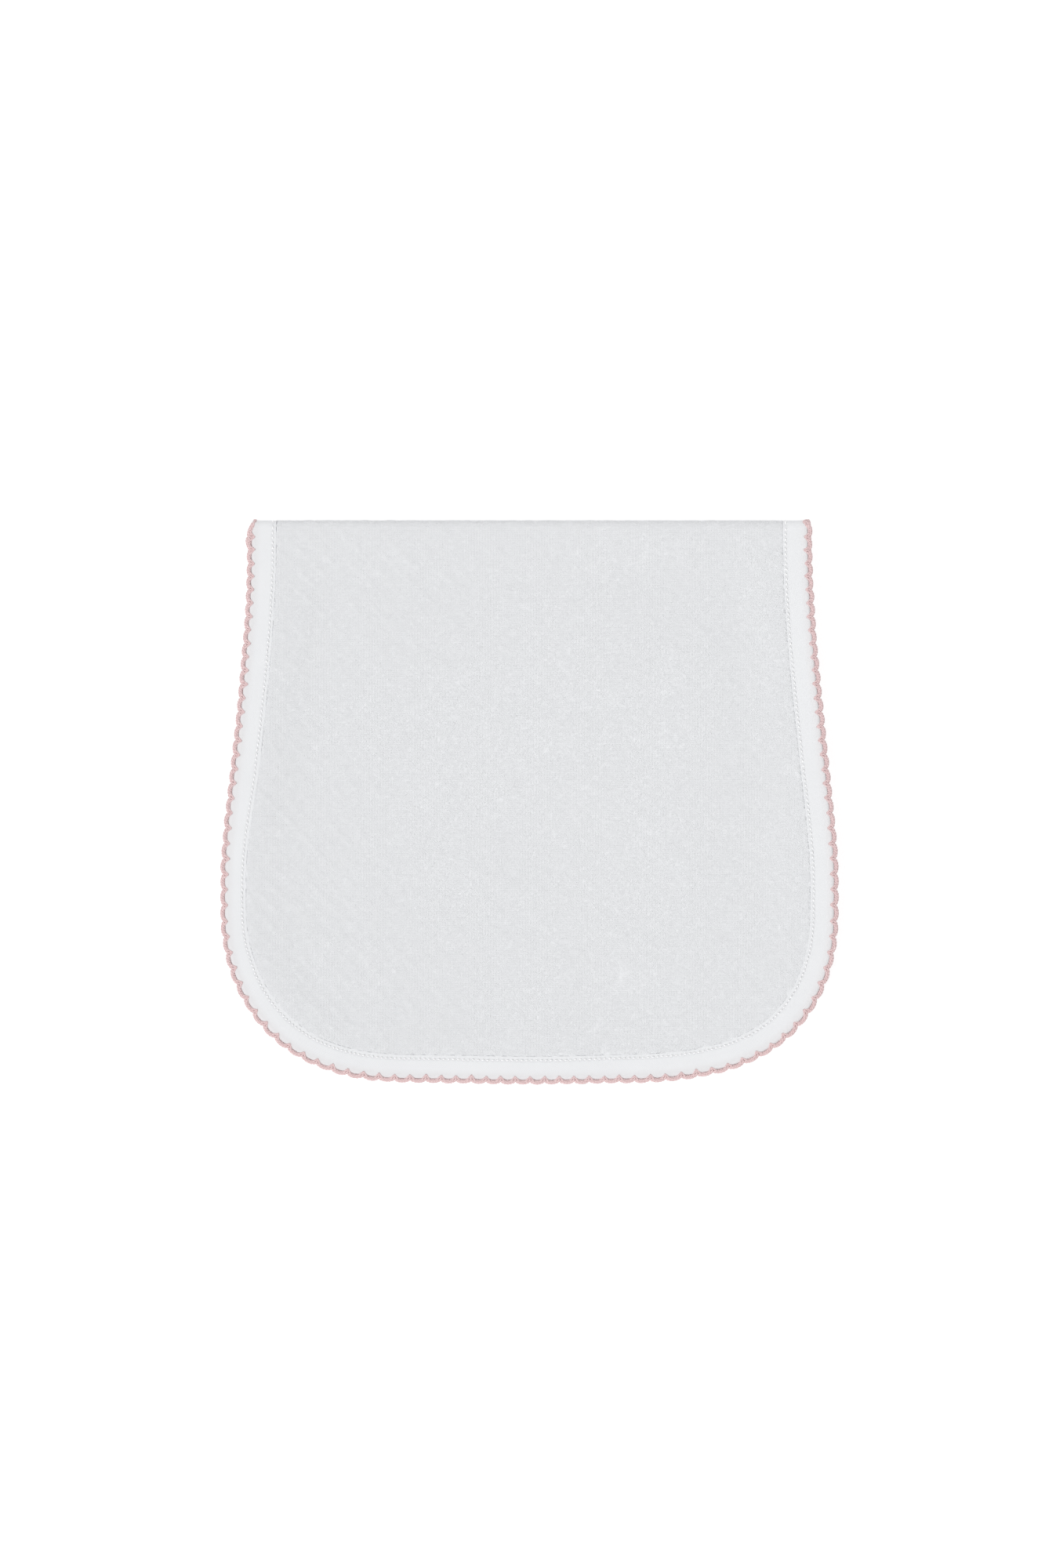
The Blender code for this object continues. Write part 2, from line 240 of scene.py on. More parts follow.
# Topstitch
STITCHES = 646
THREAD_RADIUS = 0.00033
THREAD_SIDES = 6
STITCH_STATIONS = 6
STITCH_GAP_SHARE = 0.25
STITCH_BOW = 0.00019
STITCH_BASE = 0.2
STITCH_SLANT = 0.00008
STITCH_SLACK = 0.012
STITCH_STRAY = 0.00004
STITCH_END_WIDTH = 0.45
STITCH_BOW_WIDTH = 0.55
# How much deeper the topstitch and the edging's anchors lie on the half behind
BEHIND_SINK = 0.00030

# Crochet edging
NOTCH_OUT = 0.00020
CREST_OUT = 0.00126
SCALLOP_ROUNDNESS = 0.85
CHAIN_STATIONS = 17
STATION_CROWDING = 0.05
CHAIN_SIDES = 7
CHAIN_STRANDS = 3
TURNS_A_SCALLOP = 2
STRAND_TWIST_RADIUS = 0.00060
STRAND_RADIUS = 0.00056
NOTCH_PINCH = 0.25
CHAIN_RAISE = 0.00075
BEHIND_RAISE = 0.00035
RAISE_RUN = 0.012
# How much single scallops differ in crest, lean and lift: spread, limit
CREST_SPREAD = (0.045, 0.1)
LEAN_SPREAD = (0.035, 0.08)
LIFT_SPREAD = (0.00010, 0.0002)
ANCHOR_DEPTH = 0.00150
ANCHOR_DEPTH_SPREAD = (0.15, 0.3)
ANCHOR_STRAY = 0.00015
ANCHOR_TAPER = 0.35
BESIDE_NOTCH_OUT = -0.0002
AT_NOTCH_OUT = 0.0004
ANCHOR_REACH = 0.00190
ANCHOR_RADIUS = 0.00054
ANCHOR_CROWN = 0.00165
ANCHOR_SINK = 0.00015
ANCHOR_STATIONS = 6
ANCHOR_SIDES = 6
# Where the chain is drawn in, knotted or lifted: side, way, half size, outwards, lift, and how
# much thicker it is there
CHAIN_QUIRKS = (
    ("left", -0.0005, 0.0040, -0.0022, 0.0004, 0.15),
    ("left", 0.0079, 0.0025, 0.0006, 0.0, 0.35),
    ("right", 0.0000, 0.0030, -0.0006, 0.0004, 0.15),
)

SEED = 20

# Looks too small to build: pitches, sizes and depths
RIB_PITCH = 0.00072
COURSE_PITCH = 0.00088
COURSE_SHARE = 0.45
KNIT_BUMP = 0.000022
GRAIN_SIZE = 0.0012
GRAIN_BUMP = 0.00008
FUZZ_SIZE = 0.00035
PANEL_FUZZ_BUMP = 0.00007
TAPE_FUZZ_BUMP = 0.00006
TAPE_WEAVE_PITCH = 0.00062
TAPE_WEAVE_BUMP = 0.000016
LINT_SIZE = 0.00030
PANEL_PATCH_SIZE = 0.030
TAPE_PATCH_SIZE = 0.018
YARN_PATCH_SIZE = 0.0035
# Depths on the binding between which it takes on painted shade, with a faint pink cast, beside the
# chain
PAINTED_SHADE_BY_YARN_START = 0.0046
PAINTED_SHADE_BY_YARN_END = 0.0004

# Colours, the darker one first where there are two; between the two of the panel, the thread and the
# yarn lies painted shade and painted light as well as their own uneven tone
PANEL_TONE_AND_SHADE_COLOURS = ((0.776, 0.785, 0.803), (0.866, 0.874, 0.890))
TAPE_COLOURS = ((0.809, 0.817, 0.832), (0.836, 0.843, 0.858))
PAINTED_SHADE_BY_YARN_COLOUR = (0.782, 0.772, 0.782)
HOLE_SHADE_COLOUR = (0.75, 0.757, 0.77)
THREAD_SHADE_AND_LIGHT_COLOURS = ((0.96, 0.963, 0.967), (0.99, 0.99, 0.993))
YARN_SHADE_AND_LIGHT_COLOURS = ((0.58, 0.39, 0.39), (0.895, 0.695, 0.695))


# Helpers

def smooth_step(value):
    share = np.clip(value, 0.0, 1.0)
    return share * share * (3 - 2 * share)


def noise_field(across, along, size, layer):
    """Smooth noise of about -1 to 1 over the flat cloth, with patches of the given size."""
    return np.array([
        noise.noise(Vector((x / size, y / size, layer)))
        for x, y in zip(across.tolist(), along.tolist())
    ])


def scattered(draws, spread, count):
    """Random numbers round 0, given as their spread and their limit."""
    size, limit = spread
    return draws.normal(0.0, size, count).clip(-limit, limit)


def unevenness(name, way):
    """Value of one of the edge table's columns along the edge, easing from row to row."""
    table = np.array(EDGE_ROWS).T
    places = table[0]
    values = table[EDGE_COLUMNS.index(name)]
    index = np.clip(np.searchsorted(places, way, side="right") - 1, 0, len(places) - 2)
    share = (way - places[index]) / (places[index + 1] - places[index])
    return values[index] + (values[index + 1] - values[index]) * smooth_step(share)


def even_steps(points, step):
    """The same open line with its points an even distance apart."""
    way = np.concatenate([[0.0], np.cumsum(np.hypot(*np.diff(points, axis=0).T))])
    count = int(round(way[-1] / step)) + 1
    places = np.linspace(0.0, way[-1], count)
    return np.column_stack([np.interp(places, way, points[:, axis]) for axis in (0, 1)]), places


def outward(points):
    """Outward directions along a line from the fold to the end, with the cloth on its left."""
    along = np.gradient(points, axis=0)
    along /= np.hypot(along[:, 0], along[:, 1])[:, None]
    return np.column_stack([along[:, 1], -along[:, 0]])


# Outline on the flat cloth

def quarter_outline(side, tucked):
    """A quarter's cut edge, from the fold line to the end's middle, with widths along it."""
    shape = SIDES[side]
    round_along = HALF_LENGTH - shape["hip_start"]
    along = np.linspace(0.0, shape["hip_start"], OUTLINE_POINTS)
    share = np.clip((along - shape["waist_end"]) / (shape["hip_start"] - shape["waist_end"]), 0, 1)
    across = shape["waist"] + (shape["hip"] - shape["waist"]) * (1 - np.cos(np.pi * share)) / 2
    turn = np.linspace(0.0, math.pi / 2, OUTLINE_POINTS)[1:]
    power = 2 / shape["round_power"]
    flat_end = shape["hip"] - shape["round_across"]
    round_x = flat_end + shape["round_across"] * np.cos(turn).clip(0) ** power
    round_y = shape["hip_start"] + round_along * np.sin(turn) ** power
    points = np.concatenate([
        np.column_stack([across, along]),
        np.column_stack([round_x, round_y]),
        np.array([[0.0, HALF_LENGTH]]),
    ])
    points, places = even_steps(points, OUTLINE_STEP)
    drift = unevenness(side + "_drift", places)
    if tucked:
        drift = drift - BACK_TUCK * smooth_step(places / BACK_TUCK_RUN)
    points = points + outward(points) * drift[:, None]
    points[0, 1] = 0.0
    points[-1, 0] = 0.0
    points, places = even_steps(points, OUTLINE_STEP)
    return points, unevenness(side + "_band", places), unevenness(side + "_seam", places)


class CutEdge:
    """The closed cut edge, from the left end of the fold round the front, then round the back."""

    def __init__(self):
        quarters = []
        turns = (("left", 1, 1), ("right", 1, -1), ("right", -1, 1), ("left", -1, -1))
        for side, half, order in turns:
            points, band, seam = quarter_outline(side, half < 0)
            points = points * np.array([-1 if side == "left" else 1, half])
            quarters.append(np.column_stack([points, band, seam])[::order][:-1])
        rows = np.concatenate(quarters)
        self.points = rows[:, :2]
        steps = np.hypot(*np.diff(self.points, axis=0, append=self.points[:1]).T)
        self.way = np.concatenate([[0.0], np.cumsum(steps)])
        self.length = self.way[-1]
        self.right_fold = self.way[len(quarters[0]) + len(quarters[1])]
        ahead = np.roll(self.points, -1, axis=0) - np.roll(self.points, 1, axis=0)
        ahead /= np.hypot(ahead[:, 0], ahead[:, 1])[:, None]
        rows = np.column_stack([rows, -ahead[:, 1], ahead[:, 0]])
        self.rows = np.concatenate([rows, rows[:1]])
        self.tree = kdtree.KDTree(len(self.points))
        for index, point in enumerate(self.points):
            self.tree.insert((*point, 0.0), index)
        self.tree.balance()

    def at(self, places):
        """Points, outward directions, binding widths and seam distances along the edge."""
        wrapped = np.mod(places, self.length)
        columns = np.column_stack([np.interp(wrapped, self.way, c) for c in self.rows.T])
        return columns[:, 0:2], columns[:, 4:6], columns[:, 2], columns[:, 3]

    def past_band(self, points):
        """Distance of each point of the cloth inwards from the binding's inner edge."""
        found = [self.tree.find((x, y, 0.0)) for x, y in points.tolist()]
        depth = np.array([distance for _, _, distance in found])
        nearest = np.array([index for _, index, _ in found])
        return depth - self.rows[nearest, 2]

    def stations(self, spacing):
        """Even distances along the edge, with one at each end of the fold."""
        places = []
        for start, end in ((0.0, self.right_fold), (self.right_fold, self.length)):
            count = int(round((end - start) / spacing))
            places.append(np.linspace(start, end, count, endpoint=False))
        return np.concatenate(places)


def notches(edge):
    """Distances along the cut edge of the scallops' notches, with narrower scallops by the fold."""
    spans = (
        (FIRST_NOTCH, edge.right_fold - FIRST_NOTCH),
        (edge.right_fold - FIRST_NOTCH, edge.length + FIRST_NOTCH),
    )
    found = []
    for start, end in spans:
        places = np.linspace(start, end, int((end - start) / OUTLINE_STEP))
        from_fold = np.minimum(places - start, end - places)
        wave = np.sin(math.pi * from_fold / WIDENING_WAVE) ** 2
        count = np.cumsum(1 / (NARROW_SCALLOP + SCALLOP_WIDENING * wave))
        count = (count - count[0]) / (count[-1] - count[0]) * SCALLOPS_A_HALF
        found.append(np.interp(np.arange(SCALLOPS_A_HALF), count, places))
    return np.concatenate(found)


def rise(across, along):
    """How far the front half stands off the back half, beyond the gap that the fold leaves."""
    height = np.zeros(across.shape)
    for middle_x, middle_y, half_size, amount in RISES:
        away = ((across - middle_x) ** 2 + (along - middle_y) ** 2) / half_size**2
        height += amount * np.exp(-away)
    return height * smooth_step(along / RISE_RUN)


def fold_over(flat, shift):
    """Places on the folded cloth of points given as across, along and lift."""
    across, along, lift = flat.T
    turn = np.clip(along / FOLD_RADIUS, -math.pi / 2, math.pi / 2)
    past_bend = np.clip(np.abs(along) - BEND_RUN, 0.0, None)
    reach = FOLD_RADIUS + lift
    return shift + np.column_stack([
        across,
        reach * np.cos(turn) - past_bend,
        MID_HEIGHT + reach * np.sin(turn) + rise(across, along),
    ])


# Panel

def hollow_depth(across, along):
    depth = np.full(across.shape, FRONT_SAG)
    for middle_x, middle_y, half_width, half_length, turn, amount in HOLLOWS:
        cosine = math.cos(math.radians(turn))
        sine = math.sin(math.radians(turn))
        off_x = across - middle_x
        off_y = along - middle_y
        wide = (off_x * cosine + off_y * sine) / half_width
        long = (off_y * cosine - off_x * sine) / half_length
        depth += amount * np.exp(-wide * wide - long * long)
    return depth


def figure(across, along):
    """Height of the woven puffs over the ground of the cloth, from 0 to about 1."""
    row = (along - across) / math.sqrt(2) / ROW_PITCH
    row = row + ROW_WOBBLE * noise_field(across, along, *WOBBLE_PATCHES)
    nearest = np.round(row)
    off = row - nearest
    step = (along + across) / math.sqrt(2) / PUFF_PITCH
    step = step + PUFF_JITTER * noise_field(across, along, *JITTER_PATCHES)
    puff = 0.5 + 0.5 * np.cos(2 * math.pi * (step + nearest / 2))
    between = 0.5 - 0.5 * np.cos(2 * math.pi * (step + np.floor(row) / 2))
    height = np.exp(-(off / ROW_HALF_WIDTH) ** 2) * (ROW_BASE + PUFF_SHARE * puff)
    beside = (np.abs(off) - 0.5) / BETWEEN_HALF_WIDTH
    height = height + BETWEEN_SHARE * np.exp(-beside * beside) * between
    height = height * (1 + PUFF_VARIETY * noise_field(across, along, *VARIETY_PATCHES))
    height = height + PUFF_FRAY * noise_field(across, along, *FRAY_PATCHES)
    return np.minimum(height, TALLEST_PUFF)


def figure_strength(across, along):
    """How clearly the figure stands out, with worn and pressed places where it fades."""
    strength = np.full(across.shape, WEAR_FLOOR)
    for middle_x, middle_y, half_width, half_length, amount in FIGURE_ZONES:
        wide = (across - middle_x) / half_width
        long = (np.abs(along) - middle_y) / half_length
        strength += amount * np.exp(-wide * wide - long * long)
    wear = noise_field(across, along, *WEAR_PATCHES)
    return strength * (WEAR_MIDDLE + WEAR_VARIETY * wear)


def slanted_grid(edge, half, spacing, clear_of_band, clear_of_bend):
    """Points in rows that run with the figure, clear of the binding's edge and of the bend."""
    over, with_rows = spacing
    reach = 2 * HALF_LENGTH
    row, step = np.meshgrid(
        np.arange(-reach, reach, over), np.arange(-reach, reach, with_rows), indexing="ij"
    )
    step = step + np.where(np.arange(len(row)) % 2, with_rows / 2, 0.0)[:, None]
    across = ((step - row) / math.sqrt(2)).ravel()
    along = ((step + row) / math.sqrt(2)).ravel()
    widest = max(shape["hip"] for shape in SIDES.values())
    kept = (np.abs(across) < widest) & (half * along > clear_of_bend)
    kept &= half * along < HALF_LENGTH
    points = np.column_stack([across[kept], along[kept]])
    return points[edge.past_band(points) > clear_of_band]


def bend_rows(edge, row_pitch, column_pitch, clear_of_band):
    """Rows of points that run straight across the bend of the fold."""
    reach = BEND_RUN + 2 * row_pitch
    rows = np.linspace(-reach, reach, 2 * int(reach / row_pitch) + 1)
    widest = max(shape["waist"] for shape in SIDES.values())
    columns = np.arange(-widest, widest, column_pitch)
    across, along = np.meshgrid(columns, rows)
    points = np.column_stack([across.ravel(), along.ravel()])
    return points[edge.past_band(points) > clear_of_band]


def skin(rim, inside):
    """Triangles over one skin of the panel, and where each point of its rim is in them."""
    lines = [(i, (i + 1) % len(rim)) for i in range(len(rim))]
    given = [Vector(point) for point in np.concatenate([rim, *inside]).tolist()]
    points, _, faces, came_from, *_ = delaunay_2d_cdt(given, lines, [], 1, SAME_POINT)
    rim_at = {}
    for index, sources in enumerate(came_from):
        for source in sources:
            if source < len(rim):
                rim_at[source] = index
    return np.array([tuple(p) for p in points]), faces, [rim_at[i] for i in range(len(rim))]


def panel_lift(edge, flat, outer):
    """Lift of the panel's outer or inner skin, and the share of the figure's height there."""
    across, along = flat.T
    past = edge.past_band(flat)
    full = smooth_step((past - BAND_RINGS[0]) / BAND_STEP_RUN)
    thick = UNDER_BAND_THICK + (PANEL_THICK - UNDER_BAND_THICK) * full
    past_bend = np.abs(along) - BEND_RUN
    sag = hollow_depth(across, along) * smooth_step(past_bend / SAG_FOLD_RUN)
    sag = sag * smooth_step(past / SAG_EDGE_RUN)
    drop = (UNDER_DROP - PUFF_UP) * smooth_step(past_bend / UNDER_DROP_RUN)
    middle = np.where(along > 0, -sag, drop * full) + PUFF_UP * full
    if not outer:
        return middle - thick / 2, np.zeros(len(flat))
    shown = smooth_step(past / FIGURE_EDGE_RUN)
    height = figure(across, along) * figure_strength(across, along) * shown
    settled = np.where(along > 0, 0.0, 1.0) * smooth_step(past_bend / UNDER_DROP_RUN)
    lift = middle + thick / 2 + PUFF_HEIGHT * (height - settled * shown)
    return np.minimum(lift, np.where(along < 0, BAND_HALF, lift)), height


def panel_shape(edge):
    """One folded sheet: a finely figured outer skin and a plain inner one, joined at the rim."""
    points, normals, band, _ = edge.at(edge.stations(RIM_STATION))
    rim = points - normals * RIM_DEPTH
    rings = [points - normals * (band + past)[:, None] for past in (*HIDDEN_RINGS, *BAND_RINGS)]
    past_rings = BAND_RINGS[-1] + FRONT_SPACING[0] / 2
    clear_of_bend = BEND_RUN + BEND_CLEAR_ROWS * BEND_ROW
    inner_clear_of_bend = BEND_RUN + INNER_BEND_CLEAR_ROWS * INNER_BEND_ROW
    outer_inside = [
        *rings,
        bend_rows(edge, BEND_ROW, BEND_COLUMN, past_rings),
        slanted_grid(edge, 1, FRONT_SPACING, past_rings, clear_of_bend),
        slanted_grid(edge, -1, BACK_SPACING, past_rings, clear_of_bend),
    ]
    inner_inside = [
        bend_rows(edge, INNER_BEND_ROW, INNER_BEND_COLUMN, 0.0),
        slanted_grid(edge, 1, INNER_SPACING, 0.0, inner_clear_of_bend),
        slanted_grid(edge, -1, INNER_SPACING, 0.0, inner_clear_of_bend),
    ]
    outer, outer_faces, outer_rim = skin(rim, outer_inside)
    inner, inner_faces, inner_rim = skin(rim, inner_inside)
    outer_lift, height = panel_lift(edge, outer, True)
    inner_lift, plain = panel_lift(edge, inner, False)
    flat = np.column_stack([
        np.concatenate([outer, inner]),
        np.concatenate([outer_lift, inner_lift]),
    ])
    offset = len(outer)
    faces = [tuple(face) for face in outer_faces]
    faces += [tuple(point + offset for point in reversed(face)) for face in inner_faces]
    along_faces = clockwise(outer[list(faces[0])]) != clockwise(rim)
    for i in range(len(rim)):
        j = (i + 1) % len(rim)
        corners = (outer_rim[i], outer_rim[j], inner_rim[j] + offset, inner_rim[i] + offset)
        faces.append(corners if along_faces else corners[::-1])
    return flat, faces, np.concatenate([height, plain])


def clockwise(loop):
    """Whether a closed line of points runs clockwise on the flat cloth."""
    after = np.roll(loop, -1, axis=0)
    return float((loop[:, 0] * after[:, 1] - loop[:, 1] * after[:, 0]).sum()) < 0


# Binding, topstitch and edging

def tube_faces(count, stations, sides, closed):
    """Quads of a number of tubes whose points run tube by tube, station by station."""
    tube, station, side = np.meshgrid(
        np.arange(count), np.arange(stations if closed else stations - 1), np.arange(sides),
        indexing="ij",
    )
    after = (station + 1) % stations
    beside = (side + 1) % sides
    base = tube * stations * sides
    quads = np.stack([
        base + station * sides + side,
        base + station * sides + beside,
        base + after * sides + beside,
        base + after * sides + side,
    ], axis=-1).reshape(-1, 4).tolist()
    if not closed:
        for start in range(0, count * stations * sides, stations * sides):
            last = start + (stations - 1) * sides
            quads.append(list(range(start + sides - 1, start - 1, -1)))
            quads.append(list(range(last, last + sides)))
    return quads


def tubes(lines, radii, reference, sides, closed):
    """Round tubes on the flat cloth: their points, faces, and way and angle for the material."""
    count, stations, _ = lines.shape
    if closed:
        ahead = np.roll(lines, -1, axis=1) - np.roll(lines, 1, axis=1)
        steps = np.linalg.norm(lines - np.roll(lines, 1, axis=1), axis=2)
        steps[:, 0] = 0.0
    else:
        ahead = np.gradient(lines, axis=1)
        steps = np.linalg.norm(np.diff(lines, axis=1, prepend=lines[:, :1]), axis=2)
    ahead /= np.linalg.norm(ahead, axis=2)[..., None]
    one = np.cross(ahead, reference)
    one /= np.linalg.norm(one, axis=2)[..., None]
    other = np.cross(ahead, one)
    angle = 2 * math.pi * np.arange(sides) / sides
    spokes = np.cos(angle)[:, None] * one[:, :, None] + np.sin(angle)[:, None] * other[:, :, None]
    points = lines[:, :, None] + spokes * radii[..., None, None]
    way = np.broadcast_to(np.cumsum(steps, axis=1)[..., None], points.shape[:3])
    turn = np.broadcast_to(angle, points.shape[:3])
    yarn = np.stack([way, np.cos(turn), np.sin(turn)], axis=-1)
    faces = tube_faces(count, stations, sides, closed)
    return points.reshape(-1, 3), faces, yarn.reshape(-1, 3)


def band_top(depth):
    """Lift of the binding's outer face: rolled at the cut edge, level further in."""
    share = np.clip((depth + ROLL_OUT) / ROLL_DEPTH, 0.0, 1.0)
    return BAND_HALF * (1 - (1 - share) ** ROLL_POWER) ** (1 / ROLL_POWER)


def seam_dip(stitch, from_seam):
    """How far the topstitch draws the binding's face in, most at the needle holes."""
    hole = np.cos(math.pi * stitch) ** HOLE_POWER
    across_seam = np.exp(-(from_seam / SEAM_HALF_WIDTH) ** 2)
    return (SEAM_DIP + HOLE_DIP * hole) * across_seam


def band_waves(place):
    """Slight unevenness of the binding's face along its length."""
    height = np.zeros(place.shape)
    for size, amount in BAND_WAVES:
        height += amount * np.array([noise.noise(Vector((p / size, size, 0))) for p in place])
    return height


def binding_shape(edge):
    """The strip wrapped over the cut edge, with its face drawn in along the topstitch."""
    count = STITCHES * STATIONS_A_STITCH
    stitch = np.arange(count) / STATIONS_A_STITCH
    place = stitch * edge.length / STITCHES
    points, normals, band, seam = edge.at(place)
    waves = band_waves(place)
    depths = [np.full(count, depth) for depth in SHOWN_DEPTHS]
    depths += [seam + off for off in ROUND_SEAM]
    lifts = [band_top(depth) for depth in depths]
    for index, depth in enumerate(depths):
        lifts[index] = lifts[index] - seam_dip(stitch, depth - seam)
        lifts[index] = lifts[index] + (waves - BAND_SETTLED) * smooth_step(depth / SETTLED_RUN)
    top = lifts[-1]
    depths.append(band - 2 * FOLDED_EDGE_RADIUS)
    lifts.append(top)
    for turn in FOLDED_EDGE_TURNS:
        angle = turn * math.pi / 2
        depths.append(band - FOLDED_EDGE_RADIUS * (1 - math.sin(angle)))
        lifts.append(top - FOLDED_EDGE_RADIUS * (1 - math.cos(angle)))
    at_cut_edge = np.full(count, RIM_DEPTH - CUT_EDGE_GAP)
    depths += [band - INNER_FACE_START, band - INNER_FACE_STEP, at_cut_edge]
    lifts += [np.full(count, LEG_INNER)] * 3
    shown = np.stack([np.stack(depths, axis=1), np.stack(lifts, axis=1)], axis=-1)
    hidden_depths = [
        at_cut_edge,
        band - INNER_FACE_START,
        band,
        band - FOLDED_EDGE_RADIUS,
        seam,
        *(np.full(count, depth) for depth in HIDDEN_DEPTHS),
    ]
    hidden_lifts = [
        np.full(count, LEG_INNER),
        np.full(count, LEG_INNER),
        np.full(count, BAND_HALF - FOLDED_EDGE_RADIUS - SEAM_DIP),
        np.full(count, BAND_HALF - SEAM_DIP),
    ]
    hidden_lifts += [band_top(depth) - HIDDEN_FACE_IN for depth in hidden_depths[4:]]
    hidden = np.stack([np.stack(hidden_depths, axis=1), -np.stack(hidden_lifts, axis=1)], axis=-1)
    section = np.concatenate([shown, hidden], axis=1)
    flat = points[:, None] - normals[:, None] * section[..., :1]
    flat = np.concatenate([flat, section[..., 1:]], axis=-1)
    sides = section.shape[1]
    # Where the needle holes lie, for their painted shade in the material.
    off_seam = (section[..., 0] - seam[:, None]) / HOLE_HALF_WIDTH
    hole = np.cos(math.pi * stitch[:, None]) ** HOLE_POWER * np.exp(-off_seam * off_seam)
    tape = np.stack([
        np.broadcast_to(place[:, None], section.shape[:2]),
        section[..., 0],
        np.where(section[..., 1] > 0, hole, 0.0),
    ], axis=-1)
    return flat.reshape(-1, 3), tube_faces(1, count, sides, True), tape.reshape(-1, 3)


def on_edge(edge, place, out, lift):
    """Points on the flat cloth, given along, outwards from and over the cut edge."""
    points, normals, *_ = edge.at(place.ravel())
    flat = points + normals * out.ravel()[:, None]
    return np.column_stack([flat, lift.ravel()]).reshape(*place.shape, 3)


def topstitch_shape(edge, draws):
    """Short threads that lie in the seam's groove from hole to hole on the face that shows."""
    share = np.linspace(0.0, 1.0, STITCH_STATIONS)
    slack = draws.normal(0.0, STITCH_SLACK, STITCHES)[:, None]
    stitch = np.arange(STITCHES)[:, None] + STITCH_GAP_SHARE + (1 - 2 * STITCH_GAP_SHARE) * share
    stitch = stitch + slack
    place = stitch * edge.length / STITCHES
    points, _, _, seam = edge.at(place.ravel())
    behind = np.where(points[:, 1] < 0, BEHIND_SINK, 0.0).reshape(place.shape)
    seam = seam.reshape(place.shape) + STITCH_SLANT * (share - 0.5) * 2
    seam = seam + draws.normal(0.0, STITCH_STRAY, STITCHES)[:, None]
    bow = np.sin(math.pi * share)
    lift = band_top(seam) - BAND_SETTLED - behind + STITCH_BOW * (bow + STITCH_BASE)
    lines = on_edge(edge, place, -seam, lift)
    width = STITCH_END_WIDTH + STITCH_BOW_WIDTH * np.broadcast_to(bow, place.shape) ** 0.5
    radii = THREAD_RADIUS * width
    up = np.array([0.0, 0.0, 1.0])
    return tubes(lines, radii, up, THREAD_SIDES, False)


class Chain:
    """Middle line of the crochet chain, which bows out between notches."""

    def __init__(self, edge, draws):
        self.edge = edge
        self.starts = notches(edge)
        self.ends = np.append(self.starts[1:], self.starts[0] + edge.length)
        count = len(self.starts)
        self.crest = CREST_OUT * (1 + scattered(draws, CREST_SPREAD, count))
        self.lean = scattered(draws, LEAN_SPREAD, count)
        self.height = scattered(draws, LIFT_SPREAD, count)

    def middle(self, scallop, share):
        """Place along the edge, distance outwards and lift, at shares of the way over scallops."""
        index = scallop % len(self.starts)
        start = self.starts[index]
        end = self.ends[index]
        lean = self.lean[index] * np.sin(math.pi * share) ** 2
        place = start + (share + lean) * (end - start)
        bow = np.sin(math.pi * np.clip(share, 0.0, 1.0)) ** SCALLOP_ROUNDNESS
        out = NOTCH_OUT + (self.crest[index] - NOTCH_OUT) * bow
        wrapped = np.mod(place, self.edge.length)
        past_fold = np.minimum(wrapped, self.edge.right_fold - wrapped)
        past_fold = np.maximum(past_fold, wrapped - self.edge.length)
        in_front = smooth_step(0.5 + past_fold / RAISE_RUN)
        lift = BEHIND_RAISE + (CHAIN_RAISE - BEHIND_RAISE) * in_front
        lift = lift + bow * self.height[index]
        for nearness, (*_, outwards, upwards, _) in zip(self.near_quirks(place), CHAIN_QUIRKS):
            out = out + outwards * nearness
            lift = lift + upwards * nearness
        return place, out, lift

    def near_quirks(self, place):
        """How near each place along the edge is to each of the chain's quirks, from 0 to 1."""
        found = []
        for side, way, half_size, *_ in CHAIN_QUIRKS:
            middle = way if side == "left" else self.edge.right_fold - way
            off = np.mod(place - middle + self.edge.length / 2, self.edge.length)
            off = (off - self.edge.length / 2) / half_size
            found.append(np.exp(-off * off))
        return found


def chain_shape(edge, chain):
    """Three strands twisted round the chain's middle line, drawn together at the notches."""
    count = len(chain.starts)
    even = np.arange(CHAIN_STATIONS) / CHAIN_STATIONS
    share = even - STATION_CROWDING * np.sin(2 * math.pi * even)
    scallop = np.repeat(np.arange(count), CHAIN_STATIONS)
    share = np.tile(share, count)
    place, out, lift = chain.middle(scallop, share)
    middle = on_edge(edge, place, out, lift)
    ahead = np.roll(middle, -1, axis=0) - np.roll(middle, 1, axis=0)
    ahead /= np.linalg.norm(ahead, axis=1)[:, None]
    beside = np.column_stack([-ahead[:, 1], ahead[:, 0], np.zeros(len(ahead))])
    beside /= np.linalg.norm(beside, axis=1)[:, None]
    over = np.array([0.0, 0.0, 1.0])
    pinch = 1 - NOTCH_PINCH * (1 - np.sin(math.pi * share)) ** 3
    for nearness, (*_, thicker) in zip(chain.near_quirks(place), CHAIN_QUIRKS):
        pinch = pinch * (1 + thicker * nearness)
    strands = []
    for strand in range(CHAIN_STRANDS):
        turn = TURNS_A_SCALLOP * (scallop + share) + strand / CHAIN_STRANDS
        turn = (2 * math.pi * turn)[:, None]
        spoke = np.cos(turn) * beside + np.sin(turn) * over
        strands.append(middle + spoke * (STRAND_TWIST_RADIUS * pinch)[:, None])
    radii = np.broadcast_to(STRAND_RADIUS * pinch, (CHAIN_STRANDS, len(middle)))
    return tubes(np.array(strands), radii, over, CHAIN_SIDES, True)


